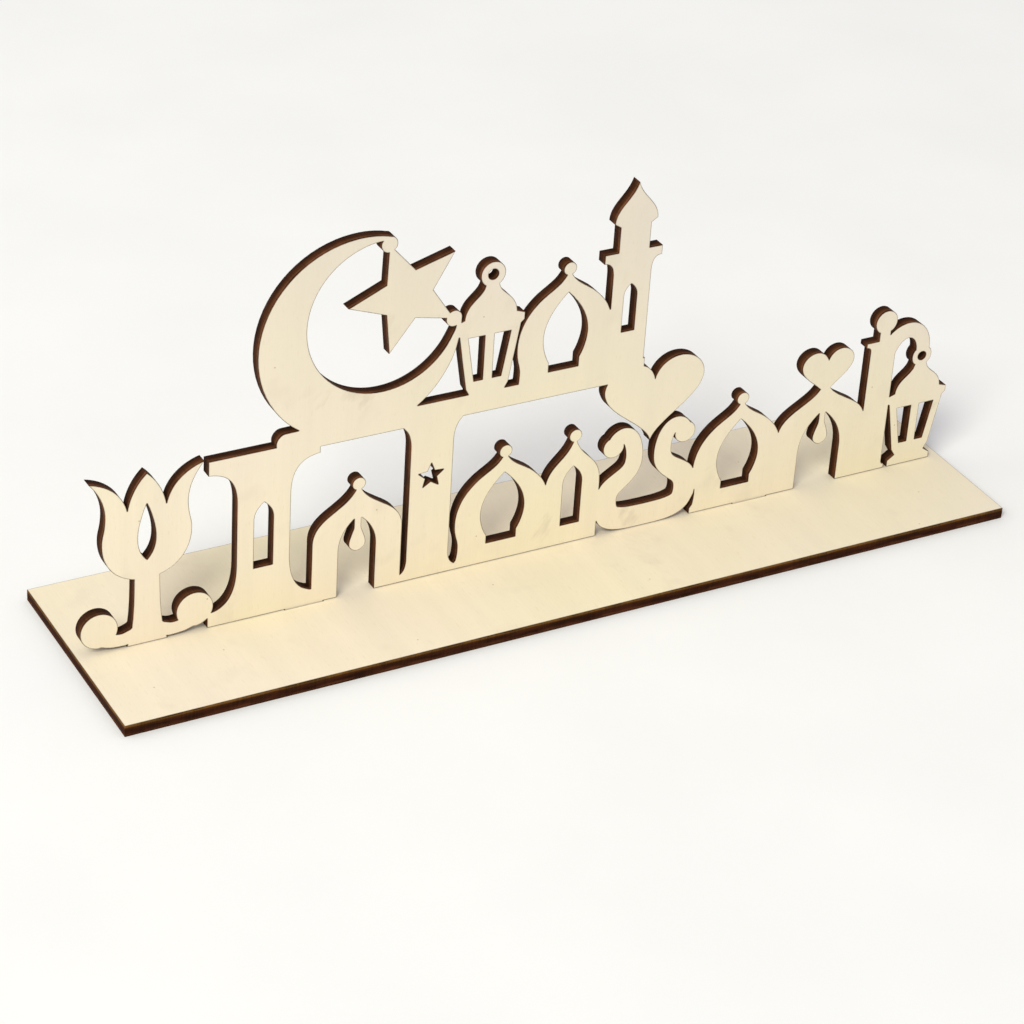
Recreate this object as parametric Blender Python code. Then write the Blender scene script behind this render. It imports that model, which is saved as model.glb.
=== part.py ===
"""Free-standing fretwork sign of laser-cut plywood: an upright panel plugged into a flat base.

Both boards are three-ply, and each ply is its own object.
Frame: metres, +Z up, +X along the base, +Y away from the viewer.
The origin is the centre of the base's underside.
"""

import math

import bpy
import bmesh
from mathutils import Vector
from mathutils.geometry import delaunay_2d_cdt

MM = 0.001

# Board
BOARD_THICKNESS = 3.3 * MM
FACE_PLY = 0.68 * MM
GLUE_LINE = 0.05 * MM

# Base
BASE_LENGTH = 265.0 * MM
BASE_DEPTH = 67.0 * MM

# Tabs of the panel and their slots in the base
TAB_WIDTH = 11.0 * MM
TAB_SHOULDER = 1.0 * MM
TAB_OFF_CENTRE = 5.5 * MM
TAB_BEYOND_SEAM = 3.5 * MM
TAB_END_RECESS = 0.2 * MM
SLOT_CLEARANCE = 0.1 * MM
SEAT_GAP = 0.1 * MM

# Lower tier, a row of motifs that run into each other
JOIN = 1.6 * MM
ROW_HEIGHT = 34.0 * MM
TULIP_WIDTH = 36.5 * MM
TULIP_FLOWER = 31.0 * MM
TULIP_HEIGHT = 50.5 * MM
TULIP_STEM = 7.0 * MM
GATE_WIDTH = 31.0 * MM
GATE_SHAFT = 15.0 * MM
GATE_LIP = 4.2 * MM
ARCH_WIDTH = 26.0 * MM
RIGHT_ARCH_WIDTH = 29.0 * MM
NICHE_WIDTH = 17.0 * MM
PIER = 7.6 * MM
GABLE_SPRING = 17.7 * MM
WAY_HEIGHT = 24.2 * MM
SILL = 6.0 * MM
NICHE_PIER = 5.6 * MM
LAMP_DROP = 2.5 * MM
FINIAL = 1.9 * MM
PILLAR_WIDTH = 19.0 * MM
PILLAR_SHAFT = 12.5 * MM
PILLAR_LIP = 1.8 * MM
DOME_WIDTH = 28.5 * MM
DOME_STROKE = 8.0 * MM
LYRE_WIDTH = 33.0 * MM
LYRE_STROKE = 7.0 * MM
POST_WIDTH = 10.5 * MM
POST_SHAFT = 8.5 * MM
POST_LIP = 1.4 * MM
POST_HEIGHT = 51.7 * MM
LANTERN_WIDTH = 20.0 * MM
LANTERN_HEIGHT = 38.0 * MM
BRACKET_STROKE = 5.0 * MM
SMALL_HEART_WIDTH = 17.0 * MM
SMALL_HEART_HEIGHT = 14.5 * MM
HEART_SINK = 5.5 * MM

# Upper tier, on a ledge that the gate tower and the pillar carry
LEDGE_UNDERSIDE = 47.5 * MM
LEDGE_HEIGHT = 6.0 * MM
LEDGE_INSET = 3.0 * MM
MOON_OVERHANG = 2.5 * MM
MOON_RADIUS = 28.5 * MM
MOON_BODY = 15.0 * MM
MOON_TURN_DEGREES = 38.0
HORN_THICKNESS = 0.9 * MM
HORN_KNOB = 2.3 * MM
STAR_RADIUS = 16.5 * MM
STAR_WAIST = 0.44
UPPER_LANTERN_HEIGHT = 42.0 * MM
UPPER_DOME_HEIGHT = 36.0 * MM
TALL_TOWER_WIDTH = 12.4 * MM
TALL_TOWER_SHAFT = 11.5 * MM
TALL_TOWER_TOP = 106.4 * MM
BIG_HEART_WIDTH = 31.0 * MM
BIG_HEART_HEIGHT = 25.0 * MM
BIG_HEART_TIP = 27.0 * MM

# Fineness of round outlines, as the largest distance from a chord to its arc or curve
CHORD_ERROR = 0.10 * MM
SHORTEST_EDGE = 0.04 * MM

# Lowest value and span of the heart curve's own formula
HEART_LOW = 17.0
HEART_SPAN = 28.9

# Colours of the wood, linear RGB with alpha
PALE_WOOD = (0.86, 0.74, 0.52, 1.0)
SCORCHED_WOOD = (0.09, 0.035, 0.018, 1.0)

BASE_TOP = BOARD_THICKNESS
FEET = BASE_TOP + SEAT_GAP


def arc(centre, radius, start, end):
    """Points on a circular arc, with angles in degrees."""
    step = 2.0 * math.acos(1.0 - CHORD_ERROR / radius)
    count = max(3, math.ceil(abs(math.radians(end - start)) / step))
    points = []
    for i in range(count + 1):
        angle = math.radians(start + (end - start) * i / count)
        points.append((centre[0] + radius * math.cos(angle), centre[1] + radius * math.sin(angle)))
    return points


def disc(centre, radius):
    """Closed round outline."""
    return arc(centre, radius, 0.0, 360.0)[:-1]


def rectangle(left, right, low, high):
    """Closed rectangular outline."""
    return [(left, low), (right, low), (right, high), (left, high)]


def curve(start, pull_start, pull_end, end):
    """Points on a cubic curve after its start point."""
    a, b, c, d = (Vector(point) for point in (start, pull_start, pull_end, end))
    bend = max((a - 2.0 * b + c).length, (b - 2.0 * c + d).length)
    steps = max(3, math.ceil(math.sqrt(0.5 * bend / CHORD_ERROR)))
    points = []
    for i in range(1, steps + 1):
        t = i / steps
        s = 1.0 - t
        point = s ** 3 * a + 3.0 * s * s * t * b + 3.0 * s * t * t * c + t ** 3 * d
        points.append(tuple(point))
    return points


def symmetric(centre_x, half):
    """Closed outline from its right half, given upwards as distances from the centre line."""
    right = [(centre_x + dx, z) for dx, z in half]
    left = [(centre_x - dx, z) for dx, z in reversed(half) if dx > 0.0]
    return right + left


def ribbon(path, widths):
    """Closed outline of a stroke along a path whose width runs evenly through the widths."""
    left = []
    right = []
    last = len(path) - 1
    for i, (x, z) in enumerate(path):
        ahead = path[min(i + 1, last)]
        behind = path[max(i - 1, 0)]
        along = Vector((ahead[0] - behind[0], ahead[1] - behind[1])).normalized()
        place = i / last * (len(widths) - 1)
        k = min(int(place), len(widths) - 2)
        half = 0.5 * (widths[k] + (widths[k + 1] - widths[k]) * (place - k))
        left.append((x - along.y * half, z + along.x * half))
        right.append((x + along.y * half, z - along.x * half))
    return right + left[::-1]


def mirror_points(points, centre_x):
    """The same outline on the other side of a centre line."""
    return [(2.0 * centre_x - x, z) for x, z in reversed(points)]


def pointed_opening(centre_x, sill, width, height):
    """Opening with upright sides and a pointed arch for its head."""
    half = 0.5 * width
    spring = sill + height - 0.95 * width
    outline = [(0.0, sill), (half, sill), (half, spring)]
    tip = (0.0, sill + height)
    outline += curve((half, spring), (half, spring + 0.5 * width), (0.45 * half, spring + 0.75 * width), tip)
    return symmetric(centre_x, outline)


def heart(centre_x, tip_z, width, height):
    """Heart that stands on its tip."""
    points = []
    count = 32
    for i in range(count):
        t = 2.0 * math.pi * i / count
        across = math.sin(t) ** 3
        rise = 13.0 * math.cos(t) - 5.0 * math.cos(2.0 * t) - 2.0 * math.cos(3.0 * t) - math.cos(4.0 * t)
        points.append((centre_x - 0.5 * width * across, tip_z + height * (rise + HEART_LOW) / HEART_SPAN))
    return points


def star(centre, radius, turn):
    """Five-pointed star with one point along the turn, in degrees."""
    points = []
    for i in range(10):
        reach = radius if i % 2 == 0 else STAR_WAIST * radius
        angle = math.radians(turn + 36.0 * i)
        points.append((centre[0] + reach * math.cos(angle), centre[1] + reach * math.sin(angle)))
    return points


def tulip(centre_x):
    """Tulip with a slit in its cup, on a stem between two leaf scrolls with ball ends."""
    top = FEET + TULIP_HEIGHT
    cup = top - TULIP_FLOWER
    w = TULIP_FLOWER
    waist = (0.37 * w, cup + 0.56 * w)
    petal_tip = (0.5 * w, top)
    notch = (0.17 * w, top - 0.33 * w)
    flower = [(0.0, cup)]
    flower += curve((0.0, cup), (0.30 * w, cup), (0.46 * w, cup + 0.26 * w), waist)
    flower += curve(waist, (0.34 * w, cup + 0.74 * w), (0.40 * w, cup + 0.88 * w), petal_tip)
    flower += curve(petal_tip, (0.33 * w, top - 0.04 * w), (0.20 * w, top - 0.16 * w), notch)
    flower += curve(notch, (0.15 * w, top - 0.18 * w), (0.07 * w, top - 0.06 * w), (0.0, top))
    slit_low = (0.0, cup + 0.18 * w)
    slit_top = (0.0, cup + 0.72 * w)
    slit = [slit_low] + curve(slit_low, (0.12 * w, cup + 0.30 * w), (0.09 * w, cup + 0.50 * w), slit_top)

    a = 0.5 * TULIP_STEM
    stem = [(0.0, FEET), (1.6 * a, FEET)]
    stem += curve((1.6 * a, FEET), (a, FEET + a), (a, cup - a), (a, cup + a))
    stem.append((0.0, cup + a))

    ball = 0.14 * TULIP_WIDTH
    reach = 0.5 * TULIP_WIDTH - ball
    path = [(centre_x, FEET + 0.9 * TULIP_STEM)]
    path += curve(
        path[0],
        (centre_x + 0.25 * reach, FEET + 0.25 * ball),
        (centre_x + 0.75 * reach, FEET + 0.30 * ball),
        (centre_x + reach + 0.35 * ball, FEET + ball),
    )
    leaf = ribbon(path, (0.75 * TULIP_STEM, 0.55 * TULIP_STEM, 0.8 * ball))
    leaf_end = disc((centre_x + reach, FEET + 1.3 * ball), ball)
    solids = [(symmetric(centre_x, flower), [symmetric(centre_x, slit)])]
    solids.append((symmetric(centre_x, stem), []))
    for outline in (leaf, leaf_end):
        solids.append((outline, []))
        solids.append((mirror_points(outline, centre_x), []))
    return solids


def flared_shaft(centre_x, foot, head, foot_width, shaft, head_width, lip):
    """Upright shaft that flares to a foot and to a head, each with a lip of even height."""
    a = 0.5 * shaft
    f = 0.5 * foot_width
    h = 0.5 * head_width
    flare_foot = 1.6 * (f - a) + lip
    flare_head = 1.3 * (h - a) + lip
    pull_foot = (a + 0.35 * (f - a), foot + 1.1 * lip)
    pull_head = (a + 0.35 * (h - a), head - 1.1 * lip)
    half = [(0.0, foot), (f, foot), (f, foot + lip)]
    half += curve((f, foot + lip), pull_foot, (a, foot + 0.5 * flare_foot), (a, foot + flare_foot))
    half.append((a, head - flare_head))
    half += curve(half[-1], (a, head - 0.5 * flare_head), pull_head, (h, head - lip))
    half += [(h, head), (0.0, head)]
    return symmetric(centre_x, half)


def gate_tower(centre_x):
    """Tower with a lancet window that carries the ledge's left end."""
    head = LEDGE_UNDERSIDE + BASE_TOP + 0.4 * LEDGE_HEIGHT
    outline = flared_shaft(centre_x, FEET, head, GATE_WIDTH, GATE_SHAFT, GATE_WIDTH, GATE_LIP)
    window = pointed_opening(centre_x, FEET + GATE_SHAFT, 0.36 * GATE_SHAFT, 1.3 * GATE_SHAFT)
    return [(outline, [window])]


def pillar(centre_x):
    """Pillar with a pierced star that carries the middle of the ledge."""
    head = LEDGE_UNDERSIDE + BASE_TOP + 0.5 * LEDGE_HEIGHT
    outline = flared_shaft(centre_x, FEET, head, PILLAR_WIDTH, PILLAR_SHAFT, 1.3 * PILLAR_WIDTH, PILLAR_LIP)
    pierced = star((centre_x, FEET + 0.62 * (head - FEET)), 0.32 * PILLAR_SHAFT, 90.0)
    return [(outline, [pierced])]


def finial(centre_x, tip_z):
    """Ball that sits on the tip of a gable or a dome."""
    return (disc((centre_x, tip_z - 0.2 * FINIAL), FINIAL), [])


def ogee_gable(centre_x, width):
    """Closed outline of a block under an ogee gable, as high as the row."""
    half = 0.5 * width
    spring = FEET + GABLE_SPRING
    rise = ROW_HEIGHT - GABLE_SPRING
    tip = (0.0, spring + rise)
    outline = [(0.0, FEET), (half, FEET), (half, spring)]
    outline += curve((half, spring), (half, spring + 0.55 * rise), (0.16 * half, spring + 0.50 * rise), tip)
    return symmetric(centre_x, outline)


def arch(centre_x, width):
    """Gabled arch whose pointed way is open at the foot, with a lamp that hangs in it."""
    below = BOARD_THICKNESS
    way = pointed_opening(centre_x, FEET - below, width - 2.0 * PIER, WAY_HEIGHT + below)
    return [(ogee_gable(centre_x, width), [way]), hanging_lamp(centre_x)]


def niche(centre_x):
    """Narrow gable with a closed lancet opening."""
    lancet = pointed_opening(centre_x, FEET + SILL, NICHE_WIDTH - 2.0 * NICHE_PIER, WAY_HEIGHT - SILL)
    return [(ogee_gable(centre_x, NICHE_WIDTH), [lancet])]


def hanging_lamp(centre_x):
    """Drop-shaped lamp on a short stem, under the point of an arch's way."""
    way_top = FEET + WAY_HEIGHT
    stem = 0.4 * LAMP_DROP
    low = way_top - 4.4 * LAMP_DROP
    neck = (stem, low + 3.0 * LAMP_DROP)
    drop = [(0.0, low)]
    drop += curve((0.0, low), (1.9 * LAMP_DROP, low + 0.4 * LAMP_DROP), (stem, low + 2.2 * LAMP_DROP), neck)
    drop += [(stem, way_top + LAMP_DROP), (0.0, way_top + LAMP_DROP)]
    return (symmetric(centre_x, drop), [])


def onion_outline(foot, width, height):
    """Right half of a dome on a drum, upwards from the middle of its foot."""
    drum = 0.5 * width - 0.7 * JOIN
    brow = (drum, foot + 0.22 * height)
    shoulder = (0.16 * width, foot + 0.84 * height)
    tip = (0.0, foot + height)
    half = [(0.0, foot), (0.5 * width, foot), (0.5 * width, foot + 0.05 * height)]
    half += curve(half[-1], (drum, foot + 0.07 * height), (drum, foot + 0.12 * height), brow)
    half += curve(brow, (0.58 * width, foot + 0.52 * height), (0.42 * width, foot + 0.72 * height), shoulder)
    half += curve(shoulder, (0.08 * width, foot + 0.88 * height), (0.02 * width, foot + 0.93 * height), tip)
    return half


def dome(centre_x, foot, height):
    """Onion dome with a closed opening of the same form."""
    opening_width = DOME_WIDTH - 2.0 * DOME_STROKE
    opening_height = 0.80 * height - SILL
    sill = foot + SILL
    spring = sill + 0.12 * opening_height
    half = [(0.0, sill), (0.36 * opening_width, sill), (0.36 * opening_width, spring)]
    half += curve(
        half[-1],
        (0.68 * opening_width, sill + 0.45 * opening_height),
        (0.52 * opening_width, sill + 0.72 * opening_height),
        (0.0, sill + opening_height),
    )
    return [(symmetric(centre_x, onion_outline(foot, DOME_WIDTH, height)), [symmetric(centre_x, half)])]


def lyre(centre_x):
    """Two mirrored scrolls that meet on the base and hold the big heart's tip between them."""
    rise = BASE_TOP + BIG_HEART_TIP - FEET
    w = 0.5 * LYRE_WIDTH
    low = FEET + 0.5 * LYRE_STROKE
    hip = (centre_x + w - 0.55 * LYRE_STROKE, FEET + 0.38 * rise)
    neck = (centre_x + 0.27 * w, FEET + 0.84 * rise)
    tip = (centre_x + 0.68 * w, FEET + 1.06 * rise)
    path = [(centre_x - 0.05 * w, low)]
    path += curve(path[0], (centre_x + 0.55 * w, low), (hip[0], FEET + 0.14 * rise), hip)
    path += curve(hip, (hip[0], FEET + 0.62 * rise), (neck[0], FEET + 0.58 * rise), neck)
    path += curve(neck, (neck[0], FEET + 1.12 * rise), (centre_x + 0.52 * w, FEET + 1.20 * rise), tip)
    scroll = ribbon(path, (LYRE_STROKE, 1.05 * LYRE_STROKE, 0.8 * LYRE_STROKE, 0.6 * LYRE_STROKE))
    ball = disc((tip[0], tip[1] - 0.05 * rise), 0.46 * LYRE_STROKE)
    solids = []
    for outline in (scroll, ball):
        solids.append((outline, []))
        solids.append((mirror_points(outline, centre_x), []))
    return solids


def lantern(centre_x, foot, width, height):
    """Lantern with a stepped foot, a flared glass house, a domed cap and a ring."""
    half = [(0.0, foot), (0.36 * width, foot), (0.36 * width, foot + 0.05 * height)]
    half += [(0.25 * width, foot + 0.09 * height), (0.31 * width, foot + 0.14 * height)]
    half += [(0.45 * width, foot + 0.54 * height), (0.50 * width, foot + 0.56 * height)]
    half += [(0.50 * width, foot + 0.61 * height), (0.38 * width, foot + 0.63 * height)]
    half += curve(
        half[-1],
        (0.36 * width, foot + 0.76 * height),
        (0.12 * width, foot + 0.76 * height),
        (0.09 * width, foot + 0.86 * height),
    )
    half.append((0.0, foot + 0.87 * height))
    bar = 0.07 * width
    pane = [(bar, foot + 0.19 * height), (0.20 * width, foot + 0.19 * height)]
    pane += [(0.31 * width, foot + 0.50 * height), (bar, foot + 0.50 * height)]
    pane = [(centre_x + dx, z) for dx, z in pane]
    ring_radius = 0.085 * height
    ring_centre = (centre_x, foot + height - ring_radius)
    return [
        (symmetric(centre_x, half), [pane, mirror_points(pane, centre_x)]),
        (disc(ring_centre, ring_radius), [disc(ring_centre, 0.42 * ring_radius)]),
    ]


def post(centre_x):
    """Lamp post with a collar, a neck and a ball on top."""
    ball = 0.42 * POST_SHAFT
    ball_z = FEET + POST_HEIGHT - ball
    collar = ball_z - 1.6 * ball
    neck = rectangle(centre_x - 0.5 * ball, centre_x + 0.5 * ball, collar - ball, ball_z)
    shaft = flared_shaft(centre_x, FEET, collar, POST_WIDTH, POST_SHAFT, 1.35 * POST_SHAFT, POST_LIP)
    return [(shaft, []), (neck, []), (disc((centre_x, ball_z), ball), [])]


def bracket(post_x, lantern_x):
    """Crook that leaves the post and comes down on the lantern's ring."""
    ring_top = FEET + LANTERN_HEIGHT
    path = [(post_x, ring_top - POST_SHAFT)]
    path += curve(
        path[0],
        (post_x, ring_top + 1.1 * POST_SHAFT),
        (lantern_x, ring_top + 1.1 * POST_SHAFT),
        (lantern_x, ring_top - 0.24 * BRACKET_STROKE),
    )
    return [(ribbon(path, (1.3 * BRACKET_STROKE, BRACKET_STROKE, 0.9 * BRACKET_STROKE)), [])]


def moon(centre):
    """Crescent whose knobbed horns hold a star by two of its points."""
    turn = math.radians(MOON_TURN_DEGREES)
    knob_orbit = MOON_RADIUS - HORN_KNOB
    arm_side = STAR_RADIUS * math.sin(math.radians(72.0))
    arm_along = STAR_RADIUS * math.cos(math.radians(72.0))
    horn = math.asin(arm_side / knob_orbit)
    star_orbit = knob_orbit * math.cos(horn) - arm_along
    star_centre = (centre[0] + star_orbit * math.cos(turn), centre[1] + star_orbit * math.sin(turn))

    back = MOON_RADIUS - MOON_BODY
    horn_reach = MOON_RADIUS - HORN_THICKNESS
    shift = (horn_reach ** 2 - back ** 2) / (2.0 * (back + horn_reach * math.cos(horn)))
    bite_radius = shift + back
    bite_centre = (centre[0] + shift * math.cos(turn), centre[1] + shift * math.sin(turn))
    beyond_bite = horn_reach * math.cos(horn) - shift
    horn_from_bite = math.degrees(math.atan2(horn_reach * math.sin(horn), beyond_bite))
    horn = math.degrees(horn)
    around = MOON_TURN_DEGREES + 360.0
    outer = arc(centre, MOON_RADIUS, MOON_TURN_DEGREES + horn, around - horn)
    inner = arc(bite_centre, bite_radius, around - horn_from_bite, MOON_TURN_DEGREES + horn_from_bite)
    solids = [(outer + inner, []), (star(star_centre, STAR_RADIUS, MOON_TURN_DEGREES), [])]
    for angle in (MOON_TURN_DEGREES - horn, MOON_TURN_DEGREES + horn):
        x = centre[0] + knob_orbit * math.cos(math.radians(angle))
        z = centre[1] + knob_orbit * math.sin(math.radians(angle))
        solids.append((disc((x, z), HORN_KNOB), []))
    return solids


def tall_tower(centre_x, foot):
    """Slim tower with a balcony and a pointed cap, the highest motif."""
    top = BASE_TOP + TALL_TOWER_TOP
    rise = top - foot
    a = 0.5 * TALL_TOWER_SHAFT
    half = [(0.0, foot), (0.5 * TALL_TOWER_WIDTH, foot)]
    half += curve(half[-1], (a, foot + 0.05 * rise), (a, foot + 0.10 * rise), (a, foot + 0.18 * rise))
    balcony = foot + 0.62 * rise
    half.append((a, balcony - 0.08 * rise))
    half += curve(half[-1], (a, balcony - 0.03 * rise), (1.1 * a, balcony), (1.5 * a, balcony))
    half += [(1.5 * a, balcony + 0.045 * rise), (0.80 * a, balcony + 0.045 * rise)]
    half += [(0.80 * a, balcony + 0.17 * rise), (1.12 * a, balcony + 0.19 * rise)]
    half += curve(half[-1], (1.10 * a, balcony + 0.27 * rise), (0.25 * a, balcony + 0.30 * rise), (0.0, top))
    lancet = pointed_opening(centre_x, foot + 0.26 * rise, 0.34 * TALL_TOWER_SHAFT, 0.24 * rise)
    return [(symmetric(centre_x, half), [lancet])]


def cradle(moon_centre, foot):
    """Block with hollow sides between the ledge and the moon."""
    half_foot = 0.72 * MOON_RADIUS
    half_head = 0.45 * MOON_RADIUS
    head = moon_centre[1] - 0.85 * MOON_RADIUS
    pull_foot = (0.8 * half_foot, foot + 0.6 * LEDGE_HEIGHT)
    half = [(0.0, foot), (half_foot, foot), (half_foot, foot + 0.5 * LEDGE_HEIGHT)]
    half += curve(half[-1], pull_foot, (half_head, head - 0.3 * LEDGE_HEIGHT), (half_head, head))
    half.append((0.0, head))
    return [(symmetric(moon_centre[0], half), [])]


def row_centres(left, widths):
    """Centres of motifs that stand in a row and run into each other by JOIN."""
    centres = []
    for width in widths:
        centres.append(left + 0.5 * width)
        left += width - JOIN
    return centres


def lower_row():
    """Centres of the lower tier's motifs, by name, with the row centred on the base."""
    widths = {
        "tulip": TULIP_WIDTH,
        "gate": GATE_WIDTH,
        "arch": ARCH_WIDTH,
        "pillar": PILLAR_WIDTH,
        "dome": DOME_WIDTH,
        "niche": NICHE_WIDTH,
        "lyre": LYRE_WIDTH,
        "right_dome": DOME_WIDTH,
        "right_arch": RIGHT_ARCH_WIDTH,
        "post": POST_WIDTH,
        "lantern": LANTERN_WIDTH,
    }
    length = sum(widths.values()) - JOIN * (len(widths) - 1)
    return dict(zip(widths, row_centres(-0.5 * length, widths.values())))


def tab_centres():
    """The tabs stand under the gate tower's seam and under the right dome."""
    row = lower_row()
    return (row["gate"] + 0.5 * GATE_WIDTH - TAB_BEYOND_SEAM, row["right_dome"] + TAB_OFF_CENTRE)


def panel_solids():
    """Every motif of the panel as an outline with its openings."""
    row = lower_row()
    ledge_low = BASE_TOP + LEDGE_UNDERSIDE
    ledge_top = ledge_low + LEDGE_HEIGHT
    on_ledge = ledge_low + 0.3 * LEDGE_HEIGHT
    moon_left = row["gate"] - MOON_OVERHANG
    upper_widths = (2.0 * MOON_RADIUS, LANTERN_WIDTH, DOME_WIDTH, TALL_TOWER_WIDTH)
    moon_x, lantern_x, dome_x, tower_x = row_centres(moon_left, upper_widths)
    moon_centre = (moon_x, ledge_low + 1.02 * MOON_RADIUS)
    ledge_right = tower_x + 0.5 * TALL_TOWER_WIDTH

    solids = []
    solids += tulip(row["tulip"])
    solids += gate_tower(row["gate"])
    solids += arch(row["arch"], ARCH_WIDTH)
    solids += pillar(row["pillar"])
    solids += dome(row["dome"], FEET, ROW_HEIGHT)
    solids += niche(row["niche"])
    solids += lyre(row["lyre"])
    solids += dome(row["right_dome"], FEET, ROW_HEIGHT)
    solids += arch(row["right_arch"], RIGHT_ARCH_WIDTH)
    solids += post(row["post"])
    solids += bracket(row["post"], row["lantern"])
    solids += lantern(row["lantern"], FEET, LANTERN_WIDTH, LANTERN_HEIGHT)
    small_heart_tip = FEET + ROW_HEIGHT - HEART_SINK
    solids.append((heart(row["right_arch"], small_heart_tip, SMALL_HEART_WIDTH, SMALL_HEART_HEIGHT), []))
    solids.append((heart(row["lyre"], BASE_TOP + BIG_HEART_TIP, BIG_HEART_WIDTH, BIG_HEART_HEIGHT), []))
    for tipped in ("arch", "dome", "niche", "right_dome"):
        solids.append(finial(row[tipped], FEET + ROW_HEIGHT))
    solids.append(finial(dome_x, on_ledge + UPPER_DOME_HEIGHT))

    ledge_left = row["gate"] + LEDGE_INSET + 0.5 * LEDGE_HEIGHT
    solids.append((rectangle(ledge_left, ledge_right, ledge_low, ledge_top), []))
    solids.append((disc((ledge_left, 0.5 * (ledge_low + ledge_top)), 0.5 * LEDGE_HEIGHT), []))
    solids += cradle(moon_centre, on_ledge)
    solids += moon(moon_centre)
    solids += lantern(lantern_x, on_ledge, LANTERN_WIDTH, UPPER_LANTERN_HEIGHT)
    solids += dome(dome_x, on_ledge, UPPER_DOME_HEIGHT)
    solids += tall_tower(tower_x, ledge_low)

    for centre in tab_centres():
        left = centre - 0.5 * TAB_WIDTH
        solids.append((rectangle(left, left + TAB_WIDTH, TAB_END_RECESS, BASE_TOP + TAB_SHOULDER), []))
    return solids


def base_solids():
    """The base's outline with a slot for each tab."""
    slots = []
    half_length = 0.5 * TAB_WIDTH + SLOT_CLEARANCE
    half_depth = 0.5 * BOARD_THICKNESS + SLOT_CLEARANCE
    for centre in tab_centres():
        slots.append(rectangle(centre - half_length, centre + half_length, -half_depth, half_depth))
    half_x = 0.5 * BASE_LENGTH
    half_y = 0.5 * BASE_DEPTH
    return [(rectangle(-half_x, half_x, -half_y, half_y), slots)]


def flat_mesh(name, solids, upright):
    """One flat face region: whatever a solid's outline covers outside that solid's own openings."""
    points = []
    loops = []
    owners = []
    for owner, (outline, openings) in enumerate(solids):
        for loop in [outline] + openings:
            loops.append(range(len(points), len(points) + len(loop)))
            owners.append((owner, loop is outline))
            points += [Vector(point) / MM for point in loop]
    merge_distance = 1e-4
    corners, _, faces, _, _, sources = delaunay_2d_cdt(points, [], loops, 1, merge_distance)

    bm = bmesh.new()
    verts = []
    for x, z in corners:
        place = Vector((x, 0.0, z)) if upright else Vector((x, z, 0.0))
        verts.append(bm.verts.new(place * MM))
    for face, source in zip(faces, sources):
        covered = {owners[i][0] for i in source if owners[i][1]}
        opened = {owners[i][0] for i in source if not owners[i][1]}
        if covered - opened:
            bm.faces.new([verts[i] for i in face])
    bmesh.ops.delete(bm, geom=[v for v in bm.verts if not v.link_faces], context='VERTS')
    bmesh.ops.remove_doubles(bm, verts=bm.verts, dist=SHORTEST_EDGE)
    bmesh.ops.dissolve_limit(bm, angle_limit=math.radians(0.5), verts=bm.verts, edges=bm.edges)
    mesh = bpy.data.meshes.new(name)
    bm.to_mesh(mesh)
    bm.free()
    return mesh


def wood(name, colour, roughness):
    """Principled wood colour of one ply."""
    material = bpy.data.materials.new(name)
    material.use_nodes = True
    shader = material.node_tree.nodes["Principled BSDF"]
    shader.inputs["Base Color"].default_value = colour
    shader.inputs["Roughness"].default_value = roughness
    shader.inputs["Metallic"].default_value = 0.0
    return material


def add_ply(name, mesh, location, thickness, material):
    """One ply: the shared flat outline with its own place, thickness and material."""
    ply = bpy.data.objects.new(name, mesh)
    ply.location = location
    bpy.context.scene.collection.objects.link(ply)
    solidify = ply.modifiers.new("thickness", 'SOLIDIFY')
    solidify.thickness = thickness
    solidify.offset = -1.0
    ply.material_slots[0].link = 'OBJECT'
    ply.material_slots[0].material = material
    return ply


def build_board(mesh, names, start, inward, materials):
    """Three plies of one board, from the face at start inwards."""
    core = BOARD_THICKNESS - 2.0 * (FACE_PLY + GLUE_LINE)
    depth = 0.0
    for name, thickness, material in zip(names, (FACE_PLY, core, FACE_PLY), materials):
        add_ply(name, mesh, start + inward * depth, thickness, material)
        depth += thickness + GLUE_LINE


def main():
    for old in list(bpy.data.objects):
        bpy.data.objects.remove(old, do_unlink=True)

    pale = wood("pale_basswood_face", PALE_WOOD, 0.62)
    core = wood("laser_scorched_core", SCORCHED_WOOD, 0.75)
    materials = (pale, core, pale)

    base_mesh = flat_mesh("base_outline", base_solids(), upright=False)
    panel_mesh = flat_mesh("panel_outline", panel_solids(), upright=True)
    for mesh in (base_mesh, panel_mesh):
        mesh.materials.append(pale)

    build_board(
        base_mesh,
        ("base_top_veneer", "base_core_veneer", "base_bottom_veneer"),
        Vector((0.0, 0.0, BASE_TOP)),
        Vector((0.0, 0.0, -1.0)),
        materials,
    )
    build_board(
        panel_mesh,
        ("panel_front_veneer", "panel_core_veneer", "panel_back_veneer"),
        Vector((0.0, -0.5 * BOARD_THICKNESS, 0.0)),
        Vector((0.0, 1.0, 0.0)),
        materials,
    )


main()
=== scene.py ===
"""Looks of the fretwork sign: two boards of bare, laser-cut basswood plywood on a pale table.

Each of the six plies starts from its CAD node's own outline, so it stays where that node is.
Curves are rounded, cut edges are eased, and the cut walls are scorched.
"""

import math

import bmesh
import bpy
from mathutils import Matrix, Vector
from mathutils.geometry import interpolate_bezier


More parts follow.
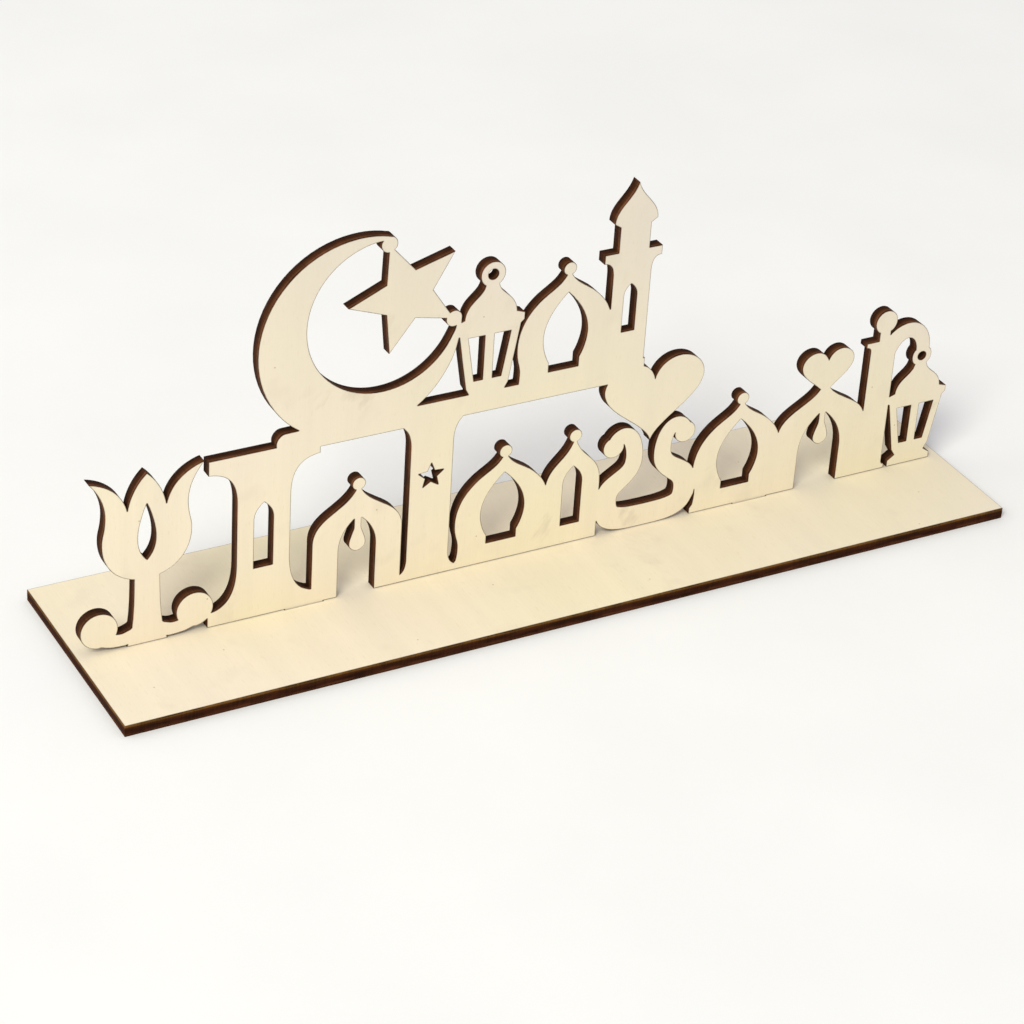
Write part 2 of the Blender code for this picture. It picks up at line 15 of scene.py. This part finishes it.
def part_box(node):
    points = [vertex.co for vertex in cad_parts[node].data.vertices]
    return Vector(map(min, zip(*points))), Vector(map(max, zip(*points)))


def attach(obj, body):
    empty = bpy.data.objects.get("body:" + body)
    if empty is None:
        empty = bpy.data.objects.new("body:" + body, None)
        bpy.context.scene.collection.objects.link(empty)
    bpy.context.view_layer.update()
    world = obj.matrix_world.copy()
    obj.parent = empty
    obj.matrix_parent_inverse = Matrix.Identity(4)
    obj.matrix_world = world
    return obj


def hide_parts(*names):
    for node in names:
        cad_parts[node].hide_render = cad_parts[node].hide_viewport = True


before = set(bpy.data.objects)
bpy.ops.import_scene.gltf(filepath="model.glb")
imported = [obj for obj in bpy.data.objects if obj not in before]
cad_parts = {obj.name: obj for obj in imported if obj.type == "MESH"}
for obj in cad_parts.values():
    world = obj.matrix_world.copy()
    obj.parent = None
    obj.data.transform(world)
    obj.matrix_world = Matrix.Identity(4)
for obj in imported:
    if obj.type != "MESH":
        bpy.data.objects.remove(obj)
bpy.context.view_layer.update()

MM = 0.001

# How a side is told from the walls beside it, how flat it is, and how near one place's points are
FACES_ALIKE = 0.9
FLAT_TURN = math.radians(0.5)
SAME_PLACE = 0.001 * MM

# How a curve of the cut is told from a corner, and how finely it is rounded
MERGE_DISTANCE = 0.13 * MM
LARGEST_CURVE_TURN = math.radians(52.0)
LIKE_TURN = math.radians(11.0)
FAINT_TURN = math.radians(13.0)
LONGEST_CURVE_EDGE = 6.0 * MM
SHORTEST_CURVE_EDGE = 0.8 * MM
STRAIGHT_RATIO = 2.2
ROUNDED_STEP = math.radians(5.0)
SHARP_TURN = math.radians(28.0)

# Notches: the beam's width rounds them, and the deepest crevices keep their straight sides
BEAM_RADIUS = 0.10 * MM
NOTCH_TURN = math.radians(-60.0)
NOTCH_STEP = math.radians(40.0)
NOTCH_SHARE = 0.4
CREVICE_TURN = math.radians(-155.0)

# Cut edges: the broken arris, the groove at a glue line, then the char and the brown smoke that
# creep over the face
EASED_EDGE = 0.06 * MM
GLUE_GROOVE = 0.03 * MM
CHAR_WIDTH = 0.10 * MM
SMOKE_WIDTH = 0.14 * MM
SMOKE = 0.4
SCORCH = "scorch"
GLUE_LINE = 0.05 * MM
VENEER, WALL = 0, 1

# Sockets of a Mix node that mixes colours
MIX_FIRST, MIX_SECOND, MIX_RESULT = 6, 7, 2


def linear(colour):
    """Linear RGBA of an sRGB hex value."""
    values = [int(colour[i:i + 2], 16) / 255.0 for i in (1, 3, 5)]
    return (*(v / 12.92 if v <= 0.04045 else ((v + 0.055) / 1.055) ** 2.4 for v in values), 1.0)


def add(tree, kind, inputs=None, **settings):
    """A shader node with its settings; an input is a plain value or another node's output."""
    node = tree.nodes.new("ShaderNode" + kind)
    for name, value in settings.items():
        setattr(node, name, value)
    for name, value in (inputs or {}).items():
        if isinstance(value, bpy.types.NodeSocket):
            tree.links.new(value, node.inputs[name])
        else:
            node.inputs[name].default_value = value
    return node


def new_material(name):
    """An empty material, its node tree and its output node."""
    material = bpy.data.materials.new(name)
    material.use_nodes = True
    material.node_tree.nodes.clear()
    return material, material.node_tree, add(material.node_tree, "OutputMaterial")


def board_coordinates(tree, upright):
    """Places on a board: X across the veneer's grain, Y along it and Z through the board."""
    coordinates = add(tree, "TexCoord").outputs["Object"]
    turn = math.radians(90.0) if upright else 0.0
    return add(tree, "Mapping", {"Vector": coordinates, "Rotation": (turn, 0.0, 0.0)}).outputs[0]


def streaks(tree, board, size, detail=2.0):
    """Noise whose blotches have this size across the grain, along it and through the board."""
    scale = tuple(1.0 / length for length in size)
    stretched = add(tree, "Mapping", {"Vector": board, "Scale": scale}).outputs[0]
    return add(tree, "TexNoise", {"Vector": stretched, "Scale": 1.0, "Detail": detail}).outputs[0]


def basswood_veneer(name, upright, painted_shade_slope, smudging):
    """Basswood face veneer, rotary cut and sanded: pale, even, matt, with fine straight fibres.

    It shows faint warm and yellowish drift, growth bands, a few short pores, dull smudges,
    rare specks, char beside the cut, and painted shade where light falls off across the sheet.
    The slope of painted shade says how much greyer the sheet is painted for each metre across
    the grain, along it and through the board, and the smudging is how strong its smudges are.
    """
    material, tree, output = new_material(name)
    board = board_coordinates(tree, upright)

    drift = streaks(tree, board, (70.0 * MM, 95.0 * MM, 70.0 * MM), 1.0)
    warmth = add(tree, "MapRange", {"Value": drift, "From Min": 0.35, "From Max": 0.65}).outputs[0]
    sapwood = {0: warmth, MIX_FIRST: linear("#F3E7CD"), MIX_SECOND: linear("#F2E8C5")}
    colour = add(tree, "Mix", sapwood, data_type='RGBA').outputs[MIX_RESULT]

    # Growth bands some 7 mm apart, then fibres drawn 0.6 mm wide, coarser than real ones
    bands = streaks(tree, board, (7.0 * MM, 130.0 * MM, 20.0 * MM), 2.0)
    fibres = streaks(tree, board, (0.6 * MM, 13.0 * MM, 3.0 * MM), 3.0)
    figure = add(tree, "Mix", {0: 0.36, 2: bands, 3: fibres}).outputs[0]
    tones = {"Value": figure, "From Min": 0.3, "From Max": 0.7, "To Min": 0.955, "To Max": 1.02}
    tone = add(tree, "MapRange", tones).outputs[0]
    grey = add(tree, "CombineColor", {0: tone, 1: tone, 2: tone}).outputs[0]
    toned = {0: 1.0, MIX_FIRST: colour, MIX_SECOND: grey}
    colour = add(tree, "Mix", toned, data_type='RGBA', blend_type='MULTIPLY').outputs[MIX_RESULT]

    # Pores: faint dashes about 0.4 mm wide and 2.5 mm long
    pores = streaks(tree, board, (0.4 * MM, 2.6 * MM, 2.0 * MM), 0.0)

    # Dull smudges that cross the grain at a slant: 1.6 mm wide, 5 mm long, in a few patches
    slant = (0.0, 0.0, math.radians(-38.0))
    slanted = add(tree, "Mapping", {"Vector": board, "Rotation": slant}).outputs[0]
    strokes = streaks(tree, slanted, (1.6 * MM, 5.0 * MM, 5.0 * MM), 3.0)
    patches = streaks(tree, board, (20.0 * MM, 26.0 * MM, 22.0 * MM), 1.0)
    few = {"Value": patches, "From Min": 0.61, "From Max": 0.72}
    smudged = add(tree, "MapRange", few).outputs[0]
    smudges = add(tree, "Math", {0: strokes, 1: smudged}, operation='MULTIPLY').outputs[0]

    # Soft grey blushes 9 mm wide, where the veneer took up damp, and painted shade: the sheet
    # greyed along a slope, darker where less light falls
    blushes = streaks(tree, slanted, (9.0 * MM, 12.0 * MM, 12.0 * MM), 2.0)
    painted_shade = add(tree, "VectorMath", {0: board, 1: painted_shade_slope}, operation='DOT_PRODUCT')

    # Specks of bark or soot, 0.4 mm across, about one in each 36 mm
    cells = add(tree, "Mapping", {"Vector": board, "Scale": (1.0 / (36.0 * MM),) * 3}).outputs[0]
    specks = add(tree, "TexVoronoi", {"Vector": cells, "Scale": 1.0}, voronoi_dimensions='2D')

    # Char beside the cut, carried a little way along the fibres
    scorch = add(tree, "Attribute", attribute_name=SCORCH).outputs["Fac"]
    uneven = {"Value": fibres, "From Min": 0.35, "From Max": 0.65, "To Min": 0.75, "To Max": 1.1}
    ragged = add(tree, "MapRange", uneven).outputs[0]
    charred = {0: scorch, 1: ragged}
    char = add(tree, "Math", charred, operation='MULTIPLY', use_clamp=True).outputs[0]

    # Each mark: its pattern, the values where it begins and is full, its strength and its colour
    marks = (
        # Painted shade: grey laid over the sheet towards the end and edge where less light falls
        (painted_shade.outputs["Value"], 0.06, 0.56, 0.5, "#D1C9C2"),
        (pores, 0.70, 0.82, 0.12, "#CDB48A"),
        (smudges, 0.36, 0.62, smudging, "#B3A48C"),
        (blushes, 0.60, 0.76, 0.16, "#C9BCA6"),
        (specks.outputs["Distance"], 0.008, 0.004, 0.5, "#8C6B48"),
        (char, 0.0, 1.0, 1.0, "#4E3820"),
    )
    for pattern, begins, full, most, stain in marks:
        mark_range = {"Value": pattern, "From Min": begins, "From Max": full, "To Max": most}
        amount = add(tree, "MapRange", mark_range).outputs[0]
        stained = {0: amount, MIX_FIRST: colour, MIX_SECOND: linear(stain)}
        colour = add(tree, "Mix", stained, data_type='RGBA').outputs[MIX_RESULT]

    matt = {"Value": fibres, "From Min": 0.3, "From Max": 0.7, "To Min": 0.60, "To Max": 0.70}
    roughness = add(tree, "MapRange", matt).outputs[0]
    bump = add(tree, "Bump", {"Height": fibres, "Strength": 0.3, "Distance": 0.03 * MM}).outputs[0]

    # Sanding raises the ends of cut fibres, and their faint nap greys the shaded wood
    nap = {"IOR": 1.5, "Specular IOR Level": 0.4, "Sheen Weight": 0.35, "Sheen Roughness": 0.5}
    finish = {"Base Color": colour, "Roughness": roughness, "Normal": bump}
    shader = add(tree, "BsdfPrincipled", finish | nap)
    tree.links.new(shader.outputs[0], output.inputs[0])
    return material


def scorched_wall(name, upright, face, back, char):
    """Wood burnt by the laser on the cut wall: dark brown, matt, with fine lines along the beam.

    The face and the back are the board's two sides, as places through it. The char gives the
    wall's colour at some depths behind the face, because each ply burns to its own brown.
    """
    material, tree, output = new_material(name)
    board = board_coordinates(tree, upright)

    # Beam lines run through the board, drawn 0.35 mm apart where real ones are 0.1 mm
    lines = streaks(tree, board, (0.35 * MM, 0.35 * MM, 8.0 * MM), 2.0)
    patches = streaks(tree, board, (6.0 * MM, 6.0 * MM, 0.9 * MM), 2.0)
    burn = add(tree, "Mix", {0: 0.3, 2: patches, 3: lines}).outputs[0]

    # The plies' limits waver by up to 0.17 mm, where the char has run over them
    through = add(tree, "SeparateXYZ", {0: board}).outputs["Z"]
    depth = add(tree, "MapRange", {"Value": through, "From Min": face, "From Max": back}).outputs[0]
    waver = {"Value": patches, "From Min": 0.3, "From Max": 0.7, "To Min": -0.05, "To Max": 0.05}
    run = add(tree, "MapRange", waver).outputs[0]
    depth = add(tree, "Math", {0: depth, 1: run}, operation='ADD').outputs[0]
    browns = add(tree, "ValToRGB", {0: depth})
    stops = browns.color_ramp.elements
    for place, brown in char[1:-1]:
        stops.new(place * MM / abs(back - face))
    for stop, (place, brown) in zip(stops, char):
        stop.color = linear(brown)

    tones = {"Value": burn, "From Min": 0.38, "From Max": 0.62, "To Min": 0.6, "To Max": 1.5}
    tone = add(tree, "MapRange", tones).outputs[0]
    grey = add(tree, "CombineColor", {0: tone, 1: tone, 2: tone}).outputs[0]
    toned = {0: 1.0, MIX_FIRST: browns.outputs["Color"], MIX_SECOND: grey}
    colour = add(tree, "Mix", toned, data_type='RGBA', blend_type='MULTIPLY').outputs[MIX_RESULT]

    dull = {"Value": burn, "From Min": 0.3, "From Max": 0.7, "To Min": 0.62, "To Max": 0.80}
    roughness = add(tree, "MapRange", dull).outputs[0]
    bump = add(tree, "Bump", {"Height": lines, "Strength": 0.5, "Distance": 0.05 * MM}).outputs[0]
    finish = {"Base Color": colour, "Roughness": roughness, "Normal": bump}
    shader = add(tree, "BsdfPrincipled", finish | {"IOR": 1.5, "Specular IOR Level": 0.04})
    tree.links.new(shader.outputs[0], output.inputs[0])
    return material


def outline_region(node, outwards):
    """The side of a CAD ply that looks outwards, as a flat region of its own."""
    bm = bmesh.new()
    bm.from_mesh(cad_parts[node].data)
    bmesh.ops.remove_doubles(bm, verts=bm.verts, dist=SAME_PLACE)
    bm.normal_update()
    away = [f for f in bm.faces if f.normal.dot(outwards) < FACES_ALIKE]
    bmesh.ops.delete(bm, geom=away, context='FACES')
    bmesh.ops.dissolve_limit(bm, angle_limit=FLAT_TURN, verts=bm.verts, edges=bm.edges)
    bmesh.ops.remove_doubles(bm, verts=bm.verts, dist=MERGE_DISTANCE)
    return bm


def boundary_rings(bm):
    """Each closed boundary of the region as its vertices in order, with the wood on the left."""
    following = {}
    for edge in bm.edges:
        if edge.is_boundary:
            loop = edge.link_loops[0]
            following[loop.vert] = loop.link_loop_next.vert
    rings = []
    while following:
        start = next(iter(following))
        ring = [start]
        vert = following.pop(start)
        while vert is not start:
            ring.append(vert)
            vert = following.pop(vert)
        rings.append(ring)
    return rings


def sides_and_turns(points, outwards):
    """Step from each point of a closed outline to the next, and signed turn at each point."""
    sides = [points[(i + 1) % len(points)] - points[i] for i in range(len(points))]
    turns = []
    for i, after in enumerate(sides):
        before = sides[i - 1]
        turns.append(math.atan2(before.cross(after).dot(outwards), before.dot(after)))
    return sides, turns


def cut_directions(sides, turns):
    """Direction of the cut at each point of a closed outline, or None at a corner."""
    directions = []
    for i, turn in enumerate(turns):
        before, after = sides[i - 1], sides[i]
        longer, shorter = (before, after) if before.length > after.length else (after, before)
        unlike = min(abs(turn - turns[i - 1]), abs(turn - turns[(i + 1) % len(turns)]))
        curved = abs(turn) < FAINT_TURN or (abs(turn) < LARGEST_CURVE_TURN and unlike < LIKE_TURN)
        left_over = shorter.length < SHORTEST_CURVE_EDGE and longer.length < LONGEST_CURVE_EDGE
        if not curved:
            directions.append(None)
        elif longer.length < STRAIGHT_RATIO * shorter.length:
            along = before / before.length_squared + after / after.length_squared
            directions.append(along.normalized())
        else:
            directions.append(None if left_over else longer.normalized())
    return directions


def rounded_points(start, end, start_direction, end_direction, step):
    """Points between start and end on the round curve that leaves and ends in these directions."""
    chord = end - start
    along = chord.normalized()
    if start_direction is None:
        start_direction = 2.0 * along.dot(end_direction) * along - end_direction
    if end_direction is None:
        end_direction = 2.0 * along.dot(start_direction) * along - start_direction
    bend = start_direction.angle(along) + end_direction.angle(along)
    steps = math.ceil(bend / step)
    if steps < 2:
        return []
    reach = chord.length * 2.0 / 3.0 * math.tan(bend / 4.0) / math.sin(bend / 2.0)
    pull_start = start + reach * start_direction
    pull_end = end - reach * end_direction
    return interpolate_bezier(start, pull_start, pull_end, end, steps + 1)[1:-1]


def add_points(bm, vert, following, points):
    """Splits the edge from vert to the following vertex so that it passes through these points."""
    for point in points:
        edge = bm.edges.get((vert, following))
        vert = bmesh.utils.edge_split(edge, vert, 0.5)[1]
        vert.co = point


def round_curves(bm, outwards):
    """Turns each chord of a curved cut into finer steps that lie on the curve."""
    for ring in boundary_rings(bm):
        points = [vert.co.copy() for vert in ring]
        sides, turns = sides_and_turns(points, outwards)
        directions = cut_directions(sides, turns)
        for i, vert in enumerate(ring):
            j = (i + 1) % len(ring)
            straight = directions[i] is None and directions[j] is None
            crevice = min(turns[i], turns[j]) < CREVICE_TURN
            if straight or crevice or sides[i].length > LONGEST_CURVE_EDGE:
                continue
            ends = (points[i], points[j], directions[i], directions[j])
            add_points(bm, vert, ring[j], rounded_points(*ends, ROUNDED_STEP))


def blunt_notches(bm, outwards):
    """Rounds each notch in the outline, because the laser's beam has a width."""
    for ring in boundary_rings(bm):
        points = [vert.co.copy() for vert in ring]
        sides, turns = sides_and_turns(points, outwards)
        for i, vert in enumerate(ring):
            if turns[i] > NOTCH_TURN:
                continue
            before, after = sides[i - 1], sides[i]
            reach = BEAM_RADIUS * math.tan(-turns[i] / 2.0)
            back = min(reach, NOTCH_SHARE * before.length, NOTCH_SHARE * after.length)
            start = points[i] - back * before.normalized()
            end = points[i] + back * after.normalized()
            curve = rounded_points(start, end, before.normalized(), after.normalized(), NOTCH_STEP)
            vert.co = start
            add_points(bm, vert, ring[(i + 1) % len(ring)], curve + [end])


def fill_inside(bm, faces, outwards):
    """Replaces these flat faces with new triangles between their outer edges."""
    replaced = set(faces)
    edges = {e for f in faces for e in f.edges}
    inner = {e for e in edges if len(e.link_faces) > 1 and replaced.issuperset(e.link_faces)}
    bmesh.ops.delete(bm, geom=faces, context='FACES_ONLY')
    bmesh.ops.delete(bm, geom=list(inner), context='EDGES')
    # The fill takes points nearer than 0.00003 units for one, so it works in millimetres
    bmesh.ops.scale(bm, vec=(1.0 / MM,) * 3, verts=bm.verts)
    outer = list(edges - inner)
    filled = bmesh.ops.triangle_fill(bm, use_beauty=True, edges=outer, normal=outwards)
    bmesh.ops.scale(bm, vec=(MM,) * 3, verts=bm.verts)
    return [f for f in filled["geom"] if isinstance(f, bmesh.types.BMFace)]


def turned_edges(ring, inside):
    """Edges between a ring and the faces inside it that run against the ring's outer edges."""
    turned = set()
    for face in ring:
        if not face.is_valid or len(face.verts) != 4:
            continue
        for loop in face.loops:
            if loop.link_loop_radial_next.face in inside:
                outer = loop.link_loop_next.link_loop_next
                along = loop.link_loop_next.vert.co - loop.vert.co
                if along.dot(outer.link_loop_next.vert.co - outer.vert.co) >= 0.0:
                    turned.add(loop.edge)
    return list(turned)


def inset_ring(bm, faces, outwards, width, drop=0.0):
    """Puts a ring of faces around a flat side, lower by drop at its outer edge.

    Returns the faces inside the ring.
    """
    bmesh.ops.translate(bm, verts=list({v for f in faces for v in f.verts}), vec=-drop * outwards)
    ring = bmesh.ops.inset_region(
        bm, faces=faces, use_boundary=True, use_even_offset=True, thickness=width, depth=drop
    )["faces"]
    inside = set(faces)
    turned = turned_edges(ring, inside)
    while turned:
        bmesh.ops.collapse(bm, edges=turned)
        inside = {f for f in inside if f.is_valid}
        turned = turned_edges(ring, inside)
    return fill_inside(bm, list(inside), outwards)


def mark(faces, layer, value):
    """Writes the value on every vertex of the faces."""
    for face in faces:
        for vert in face.verts:
            vert[layer] = value


def finish_faces(faces, material_index):
    """Gives the faces one of the ply's two materials and smooth shading between its sharp edges."""
    for face in faces:
        face.material_index = material_index
        face.smooth = True


def cut_outline(node, outwards):
    """The laser's path around and through a board, as a flat region on the node's outer side."""
    bm = outline_region(node, outwards)
    round_curves(bm, outwards)
    blunt_notches(bm, outwards)
    bmesh.ops.remove_doubles(bm, verts=bm.verts, dist=SAME_PLACE)
    fill_inside(bm, bm.faces[:], outwards)
    bmesh.ops.delete(bm, geom=[v for v in bm.verts if not v.link_faces], context='VERTS')
    return bm


def build_ply(name, node, body, outline, outwards, bare, materials):
    """One ply of a board, cut along the outline, with half of each glue line beside it.

    It lies where its CAD node lies. The bare side is +1 for the side that looks outwards,
    -1 for the side that looks the other way, and 0 for a core, which has none.
    """
    ends = [corner.dot(outwards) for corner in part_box(node)]
    near = max(ends) + (0.0 if bare > 0 else GLUE_LINE / 2.0)
    far = min(ends) - (0.0 if bare < 0 else GLUE_LINE / 2.0)

    bm = outline.copy()
    scorch = bm.verts.layers.float.new(SCORCH)
    near_side = bm.faces[:]
    bmesh.ops.translate(bm, verts=bm.verts, vec=(near - bm.verts[:][0].co.dot(outwards)) * outwards)
    extruded = bmesh.ops.extrude_face_region(bm, geom=near_side)["geom"]
    far_side = [f for f in extruded if isinstance(f, bmesh.types.BMFace)]
    far_verts = [v for v in extruded if isinstance(v, bmesh.types.BMVert)]
    bmesh.ops.translate(bm, verts=far_verts, vec=(far - near) * outwards)
    bmesh.ops.recalc_face_normals(bm, faces=bm.faces)
    finish_faces(bm.faces, WALL)

    for side, away, is_bare in ((near_side, outwards, bare > 0), (far_side, -outwards, bare < 0)):
        if is_bare:
            side = inset_ring(bm, side, away, EASED_EDGE, EASED_EDGE)
            mark(side, scorch, 1.0)
            finish_faces(side, VENEER)
            side = inset_ring(bm, side, away, CHAR_WIDTH)
            mark(side, scorch, SMOKE)
            side = inset_ring(bm, side, away, SMOKE_WIDTH)
            mark(side, scorch, 0.0)
            finish_faces(side, VENEER)
        else:
            finish_faces(inset_ring(bm, side, away, GLUE_GROOVE, GLUE_GROOVE), WALL)

    for edge in bm.edges:
        edge.smooth = edge.calc_face_angle(0.0) < SHARP_TURN
    mesh = bpy.data.meshes.new(name)
    bm.to_mesh(mesh)
    bm.free()
    for material in materials:
        mesh.materials.append(material)
    ply = bpy.data.objects.new(name, mesh)
    bpy.context.scene.collection.objects.link(ply)
    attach(ply, body)
    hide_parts(node)
    return ply


# Each board's plies: piece, node it stands for, slot and bare side
PANEL_PLIES = (
    ("panel_front_ply", "panel_front_veneer", "face_veneer", 1),
    ("panel_core_ply", "panel_core_veneer", "core_veneer", 0),
    ("panel_back_ply", "panel_back_veneer", "face_veneer", -1),
)
BASE_PLIES = (
    ("base_top_ply", "base_top_veneer", "face_veneer", 1),
    ("base_core_ply", "base_core_veneer", "core_veneer", 0),
    ("base_bottom_ply", "base_bottom_veneer", "face_veneer", -1),
)

# Colour of the burnt wall at each depth behind the bare face, in millimetres
PANEL_CHAR = (
    (0.0, "#3E240D"), (0.33, "#50311B"), (0.66, "#603C27"), (1.0, "#472918"),
    (1.55, "#3B210D"), (2.3, "#331A0D"), (2.85, "#2C1A11"), (3.3, "#2A1A12"),
)
BASE_CHAR = (
    (0.0, "#543614"), (0.33, "#644520"), (0.6, "#5E3E1A"), (0.88, "#381D0A"),
    (1.65, "#30160A"), (2.4, "#35190B"), (2.75, "#472815"), (3.3, "#3A1D0F"),
)

# Places of each board's two bare faces through it
PANEL_FACES = (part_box("panel_front_veneer")[0].y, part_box("panel_back_veneer")[1].y)
BASE_FACES = (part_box("base_top_veneer")[1].z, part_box("base_bottom_veneer")[0].z)

# Each board: its body, its plies, the side they are listed from, whether it stands upright, its
# bare faces, its wall's colours, its veneer's slope of painted shade and its smudging. The painted
# shade greys the panel towards its upper edge and right end, and the base towards its right end
BOARDS = (
    ("panel", PANEL_PLIES, Vector((0, -1, 0)), True, PANEL_FACES, PANEL_CHAR,
     (1.6, -5.6, 0.0), 0.24),
    ("base", BASE_PLIES, Vector((0, 0, 1)), False, BASE_FACES, BASE_CHAR,
     (2.4, 0.0, 0.0), 0.07),
)
for body, plies, outwards, upright, faces, char, painted_shade_slope, smudging in BOARDS:
    veneer = basswood_veneer(body + "_basswood_veneer", upright, painted_shade_slope, smudging)
    wall = scorched_wall(body + "_scorched_wall", upright, *faces, char)
    outline = cut_outline(plies[0][1], outwards)
    for name, node, slot, bare in plies:
        build_ply(name, node, body, outline, outwards, bare, (veneer, wall))
    outline.free()


# Table
TABLE_SIZE = 6.0


def table_card():
    """Matt white card: near white, with the faintest mottling, some 70 mm wide."""
    material, tree, output = new_material("matt_white_card")
    coordinates = add(tree, "TexCoord").outputs["Object"]
    mottle = add(tree, "TexNoise", {"Vector": coordinates, "Scale": 14.0, "Detail": 3.0}).outputs[0]
    amount = add(tree, "MapRange", {"Value": mottle, "From Min": 0.35, "From Max": 0.65}).outputs[0]
    whites = {0: amount, MIX_FIRST: linear("#F4F6F3"), MIX_SECOND: linear("#F7F9F6")}
    colour = add(tree, "Mix", whites, data_type='RGBA').outputs[MIX_RESULT]
    card = {"Base Color": colour, "Roughness": 0.9, "Specular IOR Level": 0.1}
    shader = add(tree, "BsdfPrincipled", card)
    tree.links.new(shader.outputs[0], output.inputs[0])
    return material


bm = bmesh.new()
bmesh.ops.create_grid(bm, x_segments=1, y_segments=1, size=TABLE_SIZE / 2.0)
table_mesh = bpy.data.meshes.new("table")
bm.to_mesh(table_mesh)
bm.free()
table_mesh.materials.append(table_card())
table = bpy.data.objects.new("table", table_mesh)
bpy.context.scene.collection.objects.link(table)


# Light: a pale room and one large soft lamp in front, to the left and above
world = bpy.data.worlds.new("pale_room")
bpy.context.scene.world = world
world.use_nodes = True
world.node_tree.nodes.clear()
seen = add(world.node_tree, "LightPath").outputs["Is Camera Ray"]
levels = {"Value": seen, "To Min": 0.58, "To Max": 1.0}
strength = add(world.node_tree, "MapRange", levels).outputs[0]
room = add(world.node_tree, "Background", {"Color": linear("#FDF9FF"), "Strength": strength})
world_output = add(world.node_tree, "OutputWorld")
world.node_tree.links.new(room.outputs[0], world_output.inputs[0])


def soft_lamp(name, place, target, size, power, colour):
    """A square softbox that faces the target."""
    light = bpy.data.lights.new(name, 'AREA')
    light.shape = 'SQUARE'
    light.size = size
    light.energy = power
    light.color = linear(colour)[:3]
    lamp = bpy.data.objects.new(name, light)
    bpy.context.scene.collection.objects.link(lamp)
    lamp.location = place
    lamp.rotation_euler = (Vector(target) - Vector(place)).to_track_quat('-Z', 'Y').to_euler()


soft_lamp("key_softbox", (-2.9, -2.35, 3.4), (0.0, 0.0, 0.03), 1.9, 156.0, "#FFFDF3")
soft_lamp("left_softbox", (-1.7, 0.45, 1.1), (0.0, 0.1, 0.03), 1.2, 7.0, "#FFFFFF")

# Camera: it stands where the photograph was taken from
CAMERA_PLACE = Vector((-0.37874, -0.64081, 0.47151))
CAMERA_RIGHT = Vector((0.88085, -0.46990, 0.05752))
CAMERA_DOWN = Vector((-0.20364, -0.48580, -0.85002))
CAMERA_FORWARD = Vector((0.42736, 0.73702, -0.52360))
LENS = 113.88
SENSOR_WIDTH = 36.0

camera_data = bpy.data.cameras.new("camera")
camera_data.sensor_width = SENSOR_WIDTH
camera_data.lens = LENS
camera = bpy.data.objects.new("camera", camera_data)
bpy.context.scene.collection.objects.link(camera)
turn = Matrix((CAMERA_RIGHT, -CAMERA_DOWN, -CAMERA_FORWARD)).transposed()
camera.matrix_world = Matrix.Translation(CAMERA_PLACE) @ turn.to_4x4()
bpy.context.scene.camera = camera

bpy.context.scene.view_settings.view_transform = 'Standard'
